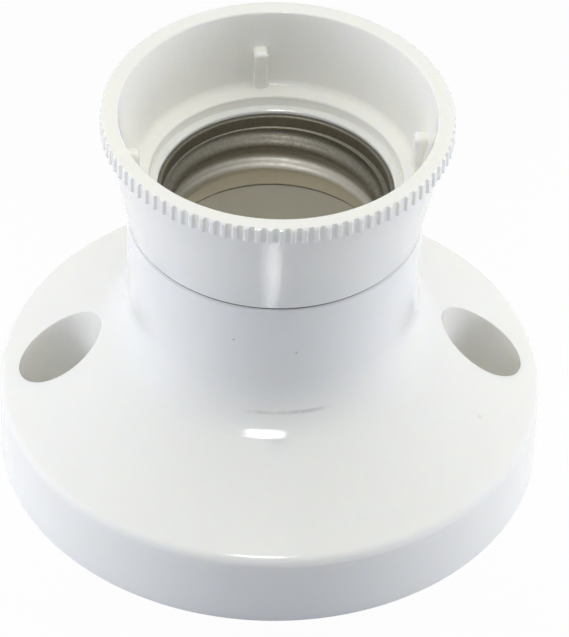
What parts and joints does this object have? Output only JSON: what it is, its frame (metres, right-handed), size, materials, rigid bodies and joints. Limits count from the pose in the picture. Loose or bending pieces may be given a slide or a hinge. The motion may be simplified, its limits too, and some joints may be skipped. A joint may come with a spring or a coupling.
{
  "type": "ceiling lamp holder",
  "caption": "Round surface lamp holder for a screw-cap lamp: flared base with two fixing wells, screw-on shroud with a ribbed rim, threaded metal shell and sprung contacts.",
  "frame": {"origin": "centre of the flat back face, which the holder stands on", "axes": "+Z out of the back towards the lamp, X through the two fixing wells"},
  "size_m": [0.0654, 0.0654, 0.0512],
  "materials": {
    "white_moulding": "smooth moulded white with a soft sheen",
    "white_insert": "plain moulded off-white",
    "nickel_shell": "dull nickel plate on rolled sheet",
    "brass_contact": "bare sprung brass",
    "brass_terminal": "machined brass",
    "plated_screw": "zinc plated steel"
  },
  "bodies": {
    "base": {"base": "white_moulding", "insert": "white_insert", "side_contact": "brass_contact", "live_terminal": "brass_terminal", "neutral_terminal": "brass_terminal", "live_rivet": "brass_contact", "neutral_rivet": "brass_contact", "live_terminal_screw": "plated_screw", "neutral_terminal_screw": "plated_screw", "insert_screws": "plated_screw"},
    "shell": {"screw_shell": "nickel_shell"},
    "shroud": {"shroud": "white_moulding"},
    "centre_contact": {"centre_contact": "brass_contact"}
  },
  "joints": [
    {"name": "shell_lift", "type": "slide", "parent": "base", "child": "shell", "axis": [0, 0, 1], "range_m": [0, 0.0075]},
    {"name": "shroud_turn", "type": "hinge", "parent": "shell", "child": "shroud", "pos_m": [0, 0, 0.03935], "axis": [0, 0, 1], "range_deg": [0, 900.1]},
    {"name": "centre_press", "type": "hinge", "parent": "base", "child": "centre_contact", "pos_m": [0.0098, 0, 0.0199], "axis": [0, 1, 0], "range_deg": [-6.5, 0], "stiffness_Nm_per_rad": 0.4}
  ],
  "couplings": [
    {"joint": "shroud_turn", "follows": "shell_lift", "rad_per_m": 2094.4}
  ]
}
